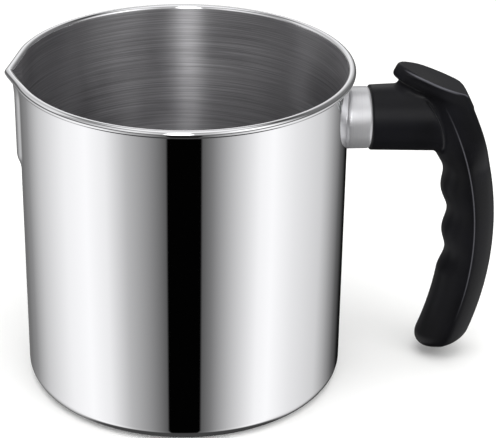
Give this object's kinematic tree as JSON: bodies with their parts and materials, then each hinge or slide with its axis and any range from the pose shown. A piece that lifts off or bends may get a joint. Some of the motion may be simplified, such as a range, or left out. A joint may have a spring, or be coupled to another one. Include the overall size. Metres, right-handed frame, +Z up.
{
  "type": "candle melting pot",
  "caption": "Straight-sided steel pouring pot with a rolled rim, a pinched pouring spout and a screwed-on moulded grip with finger grooves and a thumb rest.",
  "frame": {"origin": "centre of the flat base, on the surface the pot stands on", "axes": "+Z up along the cup's axis, +X from the cup's axis towards the handle, spout on -X, the X-Z plane is the plane of symmetry"},
  "size_m": [0.1831, 0.1242, 0.124],
  "materials": {
    "steel_cup": "mirror polished outside, brushed round inside",
    "steel_ferrule": "satin polished",
    "steel_bracket": "plain rolled sheet, spot welded",
    "phenolic": "satin moulded",
    "zinc_hardware": "zinc plated"
  },
  "bodies": {
    "root": {"cup": "steel_cup", "saddle_plate": "steel_bracket", "threaded_boss": "zinc_hardware", "ferrule": "steel_ferrule", "handle": "phenolic", "flat_washer": "zinc_hardware", "lock_washer": "zinc_hardware", "handle_screw": "zinc_hardware"}
  },
  "joints": []
}
